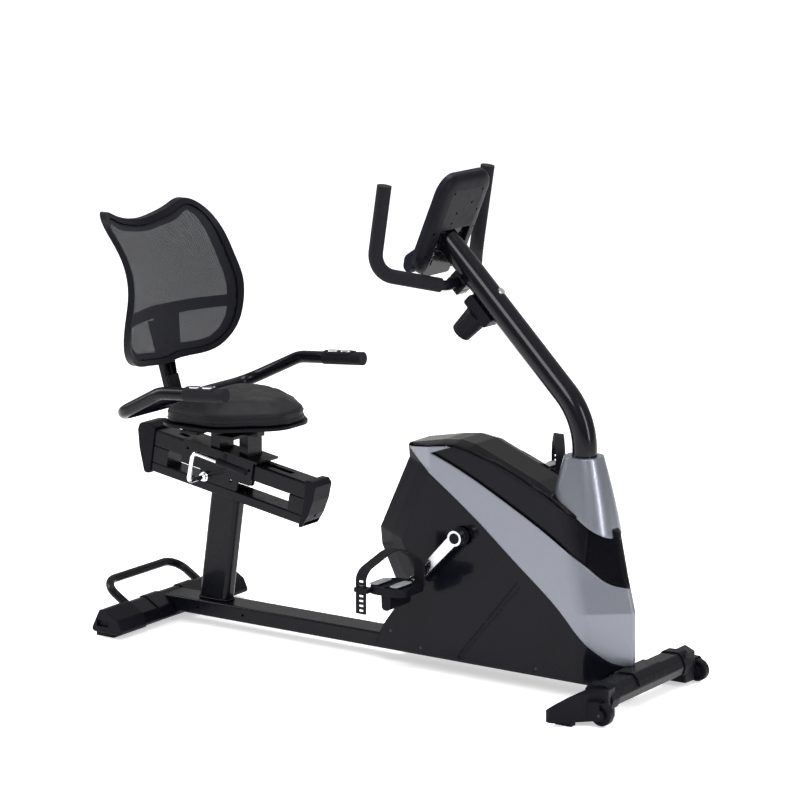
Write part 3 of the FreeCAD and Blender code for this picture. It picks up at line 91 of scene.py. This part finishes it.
WELD_R, WELD_PITCH, BEAD_SIDES = 0.0028, 0.0045, 10
SHEET_STEP = 0.003
SHEET_LEAN = 0.3                # the back leans this much per unit of height
THREAD_PITCH = 0.0042           # pitch of the open weave
EDGE_ROUND = 0.0012
MOULDING_ROUND = 0.010          # the housing's broad soft edges


# ---- node helpers -----------------------------------------------------------------------------
class Finish:
    """A material under construction: one Principled shader and the textures that feed it."""

    def __init__(self, name, colour, roughness, metallic=0.0):
        self.material = bpy.data.materials.new(name)
        self.material.use_nodes = True
        self.tree = self.material.node_tree
        self.shader = self.tree.nodes["Principled BSDF"]
        self.colour = colour
        self.roughness = roughness
        self.shader.inputs["Base Color"].default_value = (*colour, 1)
        self.shader.inputs["Roughness"].default_value = roughness
        self.shader.inputs["Metallic"].default_value = metallic
        self.place = self.add("ShaderNodeTexCoord").outputs["Object"]
        self.normal = None

    def add(self, kind, **settings):
        node = self.tree.nodes.new(kind)
        for key, value in settings.items():
            setattr(node, key, value)
        return node

    def join(self, source, target):
        self.tree.links.new(source, target)

    def stretched(self, scale):
        """Object coordinates with a scale of their own on each axis."""
        node = self.add("ShaderNodeMapping")
        node.inputs["Scale"].default_value = scale
        self.join(self.place, node.inputs["Vector"])
        return node.outputs["Vector"]

    def noise(self, scale, detail=4.0, roughness=0.55, place=None):
        node = self.add("ShaderNodeTexNoise")
        node.inputs["Scale"].default_value = scale
        node.inputs["Detail"].default_value = detail
        node.inputs["Roughness"].default_value = roughness
        self.join(place or self.place, node.inputs["Vector"])
        return node.outputs["Fac"]

    def cells(self, scale, feature="F1", place=None):
        node = self.add("ShaderNodeTexVoronoi", feature=feature)
        node.inputs["Scale"].default_value = scale
        self.join(place or self.place, node.inputs["Vector"])
        return node.outputs["Distance"]

    def remap(self, value, low, high, to_low, to_high):
        node = self.add("ShaderNodeMapRange")
        for key, number in (("From Min", low), ("From Max", high), ("To Min", to_low), ("To Max", to_high)):
            node.inputs[key].default_value = number
        self.join(value, node.inputs["Value"])
        return node.outputs["Result"]

    def math(self, operation, first, second=0.0):
        node = self.add("ShaderNodeMath", operation=operation)
        for socket, value in zip(node.inputs, (first, second)):
            if isinstance(value, (int, float)):
                socket.default_value = value
            else:
                self.join(value, socket)
        return node.outputs["Value"]

    def tint(self, factor, dark, light):
        """Base colour between two multiples of the finish's own colour."""
        node = self.add("ShaderNodeMix", data_type="RGBA")
        node.inputs[6].default_value = (*[c * dark for c in self.colour], 1)
        node.inputs[7].default_value = (*[c * light for c in self.colour], 1)
        self.join(factor, node.inputs[0])
        self.join(node.outputs[2], self.shader.inputs["Base Color"])

    def vary_roughness(self, factor, spread):
        low, high = self.roughness - spread, self.roughness + spread
        self.join(self.remap(factor, 0.3, 0.7, low, high), self.shader.inputs["Roughness"])

    def rounded(self, radius=EDGE_ROUND):
        """Edges catch the light as if they had a small radius."""
        node = self.add("ShaderNodeBevel", samples=4)
        node.inputs["Radius"].default_value = radius
        self.normal = node.outputs["Normal"]
        self.join(self.normal, self.shader.inputs["Normal"])

    def bump(self, height, distance, strength=1.0):
        node = self.add("ShaderNodeBump")
        node.inputs["Distance"].default_value = distance
        node.inputs["Strength"].default_value = strength
        self.join(height, node.inputs["Height"])
        if self.normal:
            self.join(self.normal, node.inputs["Normal"])
        self.normal = node.outputs["Normal"]
        self.join(self.normal, self.shader.inputs["Normal"])

    def worn_edges(self, amount):
        """Edges a little paler, from how far the rounded normal leans away."""
        bevel = self.add("ShaderNodeBevel", samples=4)
        bevel.inputs["Radius"].default_value = EDGE_ROUND
        flat = self.add("ShaderNodeNewGeometry").outputs["Normal"]
        lean = self.add("ShaderNodeVectorMath", operation="DOT_PRODUCT")
        self.join(bevel.outputs["Normal"], lean.inputs[0])
        self.join(flat, lean.inputs[1])
        edge = self.remap(lean.outputs["Value"], 0.995, 0.80, 0.0, amount)
        return self.math("MULTIPLY", edge, self.noise(90, 3))

    def set(self, **sockets):
        for name, value in sockets.items():
            self.shader.inputs[name.replace("_", " ")].default_value = value
        return self


# ---- finishes ---------------------------------------------------------------------------------
def powder_coat(name, colour, roughness, coat, round_by=EDGE_ROUND):
    """Baked paint with a fine orange peel and slightly polished edges."""
    paint = Finish(name, colour, roughness)
    paint.tint(paint.math("ADD", paint.noise(14, 3), paint.worn_edges(1.2)), 0.75, 1.5)
    paint.vary_roughness(paint.noise(60, 5), 0.05)
    paint.rounded(round_by)
    paint.bump(paint.noise(700, 2), 0.00012, 0.35)
    paint.set(Coat_Weight=coat, Coat_Roughness=0.08, Specular_IOR_Level=0.08)
    return paint.material


def grained_plastic(name, colour, roughness, grain=1700, depth=0.00010, round_by=EDGE_ROUND):
    """Moulded plastic with a spark-eroded grain, a little paler on its edges."""
    plastic = Finish(name, colour, roughness)
    plastic.tint(plastic.math("ADD", plastic.noise(9, 3), plastic.worn_edges(1.6)), 0.75, 1.55)
    plastic.vary_roughness(plastic.noise(45, 5), 0.05)
    plastic.rounded(round_by)
    plastic.bump(plastic.noise(grain, 3, 0.6), depth, 0.5)
    plastic.set(Specular_IOR_Level=0.07)
    return plastic.material


def polished_plastic(name, colour, roughness=0.13):
    """Polished plastic with faint swirl marks, a soft waviness and broadly rolled edges."""
    plastic = Finish(name, colour, roughness)
    plastic.tint(plastic.noise(7, 2), 0.8, 1.4)
    plastic.vary_roughness(plastic.noise(110, 6), 0.05)
    plastic.rounded(MOULDING_ROUND)
    plastic.bump(plastic.noise(30, 2), 0.0004, 0.12)
    plastic.set(Coat_Weight=0.09, Coat_Roughness=0.05, Specular_IOR_Level=0.06)
    return plastic.material


def metallic_paint(name, colour):
    """Silver paint on plastic: fine flakes under a thin clear coat."""
    paint = Finish(name, colour, 0.34, metallic=0.72)
    paint.tint(paint.math("ADD", paint.cells(2600), paint.worn_edges(0.4)), 0.78, 1.28)
    paint.vary_roughness(paint.noise(160, 4), 0.06)
    paint.rounded(0.006)
    paint.bump(paint.cells(3200), 0.00004, 0.4)
    paint.set(Coat_Weight=0.35, Coat_Roughness=0.12)
    return paint.material


def brushed_metal(name, colour, roughness, direction):
    """Metal with long scratches along one axis and faint handling marks."""
    metal = Finish(name, colour, roughness, metallic=1.0)
    scratches = metal.noise(1.0, 3, 0.7, metal.stretched(direction))
    metal.tint(metal.noise(25, 4), 0.82, 1.12)
    metal.vary_roughness(scratches, 0.09)
    metal.rounded()
    metal.bump(scratches, 0.00002, 0.2)
    return metal.material


def chrome(name):
    plate = Finish(name, (0.80, 0.81, 0.83), 0.07, metallic=1.0)
    plate.tint(plate.noise(18, 3), 0.88, 1.05)
    plate.vary_roughness(plate.noise(240, 6), 0.035)
    plate.bump(plate.noise(60, 2), 0.0002, 0.10)
    return plate.material


def rubber(name, colour, roughness=0.62):
    """Moulded rubber: dull, with a patchy dusty bloom."""
    skin = Finish(name, colour, roughness)
    skin.tint(skin.noise(55, 5), 0.7, 1.7)
    skin.vary_roughness(skin.noise(30, 4), 0.08)
    skin.rounded(0.0008)
    skin.bump(skin.noise(1300, 3), 0.00012, 0.5)
    skin.set(Specular_IOR_Level=0.1)
    return skin.material


def foam(name):
    """Closed-cell foam: soft pitted skin."""
    skin = Finish(name, RUBBER_BLACK, 0.72)
    pores = skin.cells(850)
    skin.tint(pores, 0.7, 1.9)
    skin.bump(skin.math("ADD", pores, skin.noise(400, 3)), 0.0003, 0.5)
    skin.set(Sheen_Weight=0.01, Sheen_Roughness=0.5, Specular_IOR_Level=0.12)
    return skin.material


def vinyl(name):
    """Coated fabric with a leather grain: rounded pebbles parted by fine creases."""
    skin = Finish(name, VINYL_BLACK, 0.42)
    warp = skin.noise(35, 3)
    pebbles = skin.cells(620, "DISTANCE_TO_EDGE")
    creases = skin.remap(pebbles, 0.0, 0.16, 0.0, 1.0)
    skin.tint(skin.math("MULTIPLY", creases, warp), 0.6, 2.2)
    skin.vary_roughness(warp, 0.06)
    skin.bump(skin.math("ADD", creases, skin.math("MULTIPLY", warp, 0.8)), 0.00035, 0.5)
    skin.set(Specular_IOR_Level=0.13, Sheen_Weight=0.01)
    return skin.material


def woven_mesh(name):
    """Open knitted mesh: round threads with gaps between them, from the sheet's own coordinates."""
    cloth = Finish(name, MESH_GREY, 0.7)
    spread = cloth.add("ShaderNodeSeparateXYZ")
    cloth.join(cloth.add("ShaderNodeUVMap", uv_map="weave").outputs["UV"], spread.inputs[0])
    turn = 2 * math.pi / THREAD_PITCH

    def wave(socket, shift=0.0):
        angle = cloth.math("ADD", cloth.math("MULTIPLY", socket, turn), shift)
        return cloth.math("COSINE", angle)

    across, up = spread.outputs[0], spread.outputs[1]
    diagonal = cloth.math("ADD", across, up)
    other = cloth.math("SUBTRACT", across, up)
    weave = cloth.math("ADD", wave(diagonal), wave(other))
    threads = cloth.remap(weave, -1.76, -1.54, 0.0, 1.0)
    cloth.tint(cloth.math("MULTIPLY", threads, cloth.noise(900, 3)), 0.55, 2.3)
    cloth.bump(weave, 0.0005, 0.8)
    cloth.join(threads, cloth.shader.inputs["Alpha"])
    cloth.set(Sheen_Weight=0.02, Sheen_Roughness=0.4, Specular_IOR_Level=0.12)
    return cloth.material


def display_window(name):
    """Smoked window over a liquid crystal panel."""
    glass = Finish(name, (0.016, 0.020, 0.020), 0.06)
    glass.tint(glass.noise(6, 2), 0.8, 1.2)
    glass.vary_roughness(glass.noise(180, 5), 0.02)
    glass.set(Coat_Weight=1.0, Coat_Roughness=0.02)
    return glass.material


def finishes():
    return {
        "frame_paint": powder_coat("frame_paint", PAINT_BLACK, 0.30, 0.10),
        "mast_paint": powder_coat("mast_paint", PAINT_BLACK, 0.20, 0.22),
        "housing_plastic": polished_plastic("housing_plastic", HOUSING_BLACK, 0.2),
        "gloss_black": polished_plastic("gloss_black", GLOSS_BLACK),
        "silver_trim": metallic_paint("silver_trim", SILVER),
        "black_plastic": grained_plastic("black_plastic", PLASTIC_BLACK, 0.42),
        "console_plastic": grained_plastic("console_plastic", CONSOLE_GREY, 0.42),
        "screen": display_window("screen"),
        "key_plastic": grained_plastic("key_plastic", (0.20, 0.205, 0.22), 0.45, 1200),
        "knob_plastic": grained_plastic("knob_plastic", PLASTIC_BLACK, 0.5, 1200, 0.00014),
        "rubber": rubber("rubber", RUBBER_BLACK),
        "foam": foam("foam"),
        "vinyl": vinyl("vinyl"),
        "mesh": woven_mesh("mesh"),
        "chrome": chrome("chrome"),
        "crank_alloy": brushed_metal("crank_alloy", BRIGHT_ALLOY, 0.2, (40, 160, 160)),
        "steel": brushed_metal("steel", (0.55, 0.55, 0.56), 0.28, (300, 300, 900)),
        "blackened_steel": brushed_metal("blackened_steel", BLACKENED_STEEL, 0.32, (300, 300, 300)),
        "pad_grey": rubber("pad_grey", PAD_GREY, 0.55),
        "flywheel_iron": brushed_metal("flywheel_iron", (0.30, 0.30, 0.31), 0.35, (300, 900, 300)),
        "pulley_plastic": grained_plastic("pulley_plastic", HOUSING_BLACK, 0.5),
        "wheel_plastic": grained_plastic("wheel_plastic", PLASTIC_BLACK, 0.45),
    }


FINISH = finishes()


def paint_nodes():
    """Each CAD node takes its slot's finish; bolts are blackened low down and bright on the mast."""
    slots = {part["node"]: part["material_slot"] for part in frame["record"]["subparts"]}
    for name, node in NODES.items():
        node.data.materials.clear()
        node.data.materials.append(FINISH[slots[name]])
    bolts = NODES["frame_fasteners"].data
    bolts.materials.clear()
    bolts.materials.append(FINISH["blackened_steel"])
    bolts.materials.append(FINISH["steel"])
    for face in bolts.polygons:
        face.material_index = int(face.center.z > BRIGHT_BOLTS_ABOVE)


# ---- mesh helpers -----------------------------------------------------------------------------
def new_object(name, shape, finish, body):
    data = bpy.data.meshes.new(name)
    shape.to_mesh(data)
    shape.free()
    obj = bpy.data.objects.new(name, data)
    bpy.context.scene.collection.objects.link(obj)
    data.materials.append(FINISH[finish])
    for face in data.polygons:
        face.use_smooth = True
    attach(obj, body)
    return obj


def tree_of(node):
    return BVHTree.FromPolygons([v.co for v in node.data.vertices],
                                [tuple(p.vertices) for p in node.data.polygons])


def apply_modifiers(obj):
    """The object's evaluated mesh becomes its own."""
    bpy.context.view_layer.update()
    evaluated = obj.evaluated_get(bpy.context.evaluated_depsgraph_get())
    mesh = bpy.data.meshes.new_from_object(evaluated)
    obj.modifiers.clear()
    obj.data = mesh


# ---- seat cushion -----------------------------------------------------------------------------
def seat_cushion():
    """The pad is blown up a little inside its cover; what rests on the pan stays flat."""
    source = NODES["seat_cushion"]
    shape = bmesh.new()
    shape.from_mesh(source.data)
    bmesh.ops.remove_doubles(shape, verts=shape.verts, dist=1e-6)
    pad = new_object("seat_pad", shape, "vinyl", "seat")
    remesh = pad.modifiers.new("remesh", "REMESH")
    remesh.mode = "VOXEL"
    remesh.voxel_size = CUSHION_VOXEL
    apply_modifiers(pad)
    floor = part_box("seat_cushion")[0][2] + CUSHION_REST
    start = [v.co.copy() for v in pad.data.vertices]
    for vertex in pad.data.vertices:
        vertex.co -= vertex.normal * CUSHION_SHRINK
    inflate(pad, floor)
    for vertex, home in zip(pad.data.vertices, start):
        move = vertex.co - home
        if move.length > CUSHION_CAP:
            vertex.co = home + move.normalized() * CUSHION_CAP
    pad.modifiers.new("relax", "SMOOTH").iterations = CUSHION_RELAX
    finer = pad.modifiers.new("finer", "SUBSURF")
    finer.levels = 1
    finer.render_levels = 1
    apply_modifiers(pad)
    pad.data.materials.clear()
    pad.data.materials.append(FINISH["vinyl"])
    for face in pad.data.polygons:
        face.use_smooth = True
    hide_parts("seat_cushion")
    return pad


def inflate(pad, floor):
    """Cloth pressure fills the cover; what rests on the pan is pinned."""
    pinned = pad.vertex_groups.new(name="pinned")
    pinned.add([v.index for v in pad.data.vertices if v.co.z < floor], 1.0, "REPLACE")
    cloth = pad.modifiers.new("cloth", "CLOTH")
    cloth.settings.use_pressure = True
    cloth.settings.uniform_pressure_force = 4
    cloth.settings.effector_weights.gravity = 0
    cloth.settings.vertex_group_mass = "pinned"
    cloth.settings.quality = 5
    cloth.point_cache.frame_start = 1
    cloth.point_cache.frame_end = CUSHION_FRAMES
    for number in range(1, CUSHION_FRAMES + 1):
        bpy.context.scene.frame_set(number)
    apply_modifiers(pad)
    bpy.context.scene.frame_set(1)


# ---- backrest mesh ----------------------------------------------------------------------------
def backrest_mesh():
    """One sheet of open mesh stretched over the back's frame, on the CAD sheet's front face."""
    surface = tree_of(NODES["backrest_mesh"])
    low, high = (Vector(corner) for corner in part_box("backrest_mesh"))
    columns = round((high.y - low.y) / SHEET_STEP)
    rows = round((high.z - low.z) / SHEET_STEP)
    shape = bmesh.new()
    weave = shape.loops.layers.uv.new("weave")
    grid = {}
    for i in range(columns + 1):
        for j in range(rows + 1):
            start = Vector((high.x + 0.1, low.y + i * SHEET_STEP, low.z + j * SHEET_STEP))
            hit = surface.ray_cast(start, Vector((-1, 0, 0)))[0]
            if hit:
                grid[i, j] = shape.verts.new(hit)
    place = {}
    for (i, j), vertex in grid.items():
        place[vertex] = (vertex.co.y, vertex.co.z * math.hypot(1, SHEET_LEAN))
    for i in range(columns):
        for j in range(rows):
            corners = [grid.get(key) for key in ((i, j), (i + 1, j), (i + 1, j + 1), (i, j + 1))]
            if None not in corners:
                face = shape.faces.new(corners)
                for loop in face.loops:
                    loop[weave].uv = place[loop.vert]
    area = sum(face.calc_area() for face in shape.faces)
    loose = [v for v in shape.verts if not v.link_faces]
    bmesh.ops.delete(shape, geom=loose, context="VERTS")
    sheet = new_object("back_sheet", shape, "mesh", "seat")
    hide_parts("backrest_mesh")


# ---- trim that only shows --------------------------------------------------------------------
def outline_at(tree, centre, height, count):
    """Where a level line meets a form all round, seen from its middle."""
    points = []
    for i in range(count):
        turn = 2 * math.pi * i / count
        away = Vector((math.cos(turn), math.sin(turn), 0))
        start = Vector((centre.x, centre.y, height)) + away
        hit = tree.ray_cast(start, -away)[0]
        if hit:
            points.append(hit)
    return points


def bead(name, points, radius, finish, body, ripple=0.0):
    """A closed bead along level points: smooth like piping, or rippled like a weld."""
    shape = bmesh.new()
    rings = []
    travelled = 0.0
    for i, point in enumerate(points):
        following = points[(i + 1) % len(points)]
        tangent = (following - points[i - 1]).normalized()
        outward = tangent.cross(Vector((0, 0, 1))).normalized()
        size = radius * (1 + ripple * math.cos(2 * math.pi * travelled / WELD_PITCH))
        travelled += (following - point).length
        ring = []
        for k in range(BEAD_SIDES):
            tilt = 2 * math.pi * k / BEAD_SIDES
            spot = point + outward * size * math.cos(tilt) + Vector((0, 0, size * math.sin(tilt)))
            ring.append(shape.verts.new(spot))
        rings.append(ring)
    for i, ring in enumerate(rings):
        following = rings[(i + 1) % len(rings)]
        for k in range(BEAD_SIDES):
            m = (k + 1) % BEAD_SIDES
            shape.faces.new((ring[k], following[k], following[m], ring[m]))
    bmesh.ops.recalc_face_normals(shape, faces=shape.faces)
    return new_object(name, shape, finish, body)


def cushion_piping(pad):
    """Two raised seams round the cushion's side, where its cover's panels meet."""
    low, high = (Vector(corner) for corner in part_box("seat_cushion"))
    centre = (low + high) / 2
    tree = tree_of(pad)
    for number, share in enumerate(PIPING_SHARES):
        height = low.z + (high.z - low.z) * share
        points = outline_at(tree, centre, height, SEAM_POINTS)
        piping = bead(f"seat_piping_{number + 1}", points, PIPING_R, "vinyl", "seat")


def welds():
    """Beads round the feet of the seat post and of the mast."""
    for name in ("seat_post", "mast"):
        low = Vector(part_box(name)[0])
        foot = [v.co for v in NODES[name].data.vertices if v.co.z < low.z + WELD_SEARCH]
        centre = sum(foot, Vector()) / len(foot)
        points = outline_at(tree_of(NODES[name]), centre, low.z + WELD_R, WELD_POINTS)
        bead(f"{name}_weld", points, WELD_R, "frame_paint", "frame", ripple=0.22)


def tread_outline():
    """A long rounded tread: a circle whose sides are pushed out towards its box."""
    outline = []
    for i in range(PAD_POINTS):
        turn = 2 * math.pi * i / PAD_POINTS
        across = math.copysign(abs(math.cos(turn)) ** 0.6, math.cos(turn)) * PAD_HALF_WIDTH
        along = math.copysign(abs(math.sin(turn)) ** 0.35, math.sin(turn)) * PAD_HALF_LENGTH
        outline.append(Vector((across, along)))
    return outline


def tread(centre_x, centre_y, top):
    """One tread's shape: its outline stacked in rows that draw in towards the top."""
    shape = bmesh.new()
    outline = tread_outline()
    rows = []
    for share, height in PAD_PROFILE:
        rows.append([shape.verts.new((centre_x + p.x * share, centre_y + p.y * share, top + height))
                     for p in outline])
    for lower, upper in zip(rows, rows[1:]):
        for i in range(PAD_POINTS):
            j = (i + 1) % PAD_POINTS
            shape.faces.new((lower[i], lower[j], upper[j], upper[i]))
    shape.faces.new(rows[-1])
    shape.faces.new(list(reversed(rows[0])))
    bmesh.ops.recalc_face_normals(shape, faces=shape.faces)
    return shape


def pedal_pads():
    """Two soft grey treads let into the top of each pedal."""
    for side in ("right", "left"):
        low, high = (Vector(corner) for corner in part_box(f"pedal_{side}"))
        middle = (low + high) / 2
        for number, shift in enumerate((-PAD_SHIFT, PAD_SHIFT)):
            shape = tread(middle.x + shift, middle.y, high.z)
            pad = new_object(f"pedal_pad_{side}_{number + 1}", shape, "pad_grey", f"pedal_{side}_body")


# ---- light, floor, camera ---------------------------------------------------------------------
def area_light(name, place, target, size, energy):
    data = bpy.data.lights.new(name, "AREA")
    data.shape = "RECTANGLE"
    data.size, data.size_y = size
    data.energy = energy
    light = bpy.data.objects.new(name, data)
    light.location = place
    light.rotation_euler = (Vector(target) - Vector(place)).to_track_quat("-Z", "Y").to_euler()
    bpy.context.scene.collection.objects.link(light)


def studio():
    world = bpy.data.worlds.new("studio")
    world.use_nodes = True
    sky = world.node_tree
    direction = sky.nodes.new("ShaderNodeTexCoord").outputs["Generated"]
    parts = sky.nodes.new("ShaderNodeSeparateXYZ")
    glow = sky.nodes.new("ShaderNodeMapRange")
    for key, number in (("From Min", 0.0), ("From Max", 0.8), ("To Min", 0.35), ("To Max", 0.85)):
        glow.inputs[key].default_value = number
    sky.links.new(direction, parts.inputs[0])
    sky.links.new(parts.outputs["Z"], glow.inputs["Value"])
    sky.links.new(glow.outputs["Result"], sky.nodes["Background"].inputs["Strength"])
    sky.nodes["Background"].inputs["Color"].default_value = (1.0, 1.0, 1.0, 1)
    bpy.context.scene.world = world
    bpy.context.scene.view_settings.view_transform = "Standard"
    shape = bmesh.new()
    bmesh.ops.create_grid(shape, x_segments=1, y_segments=1, size=30)
    data = bpy.data.meshes.new("floor")
    shape.to_mesh(data)
    shape.free()
    floor = bpy.data.objects.new("floor", data)
    floor.location = (0, 0, -0.0005)
    bpy.context.scene.collection.objects.link(floor)
    pale = Finish("floor", (0.92, 0.92, 0.92), 0.9)
    pale.tint(pale.noise(2, 2), 0.98, 1.02)
    pale.set(Emission_Color=(1, 1, 1, 1), Emission_Strength=0.5)
    data.materials.append(pale.material)
    middle = (0, 0, 0.6)
    area_light("key", (1.6, -3.6, 3.4), middle, (1.6, 2.2), 110)
    area_light("rider_side", (-3.4, -1.2, 2.4), middle, (1.2, 2.4), 90)
    area_light("top", (0.2, 0.6, 4.2), middle, (3.0, 1.2), 120)
    area_light("front", (4.2, -0.6, 1.8), middle, (0.8, 2.4), 80)


def camera():
    data = bpy.data.cameras.new("camera")
    data.lens = CAMERA_LENS
    data.sensor_width = CAMERA_SENSOR
    eye = bpy.data.objects.new("camera", data)
    level = math.cos(CAMERA_ELEVATION)
    away = Vector((math.sin(CAMERA_AZIMUTH) * level, -math.cos(CAMERA_AZIMUTH) * level,
                   math.sin(CAMERA_ELEVATION)))
    eye.location = CAMERA_TARGET + away * CAMERA_DISTANCE
    eye.rotation_euler = (math.radians(90) - CAMERA_ELEVATION, 0, CAMERA_AZIMUTH)
    bpy.context.scene.collection.objects.link(eye)
    bpy.context.scene.camera = eye


paint_nodes()
cushion_piping(seat_cushion())
backrest_mesh()
welds()
pedal_pads()
studio()
camera()
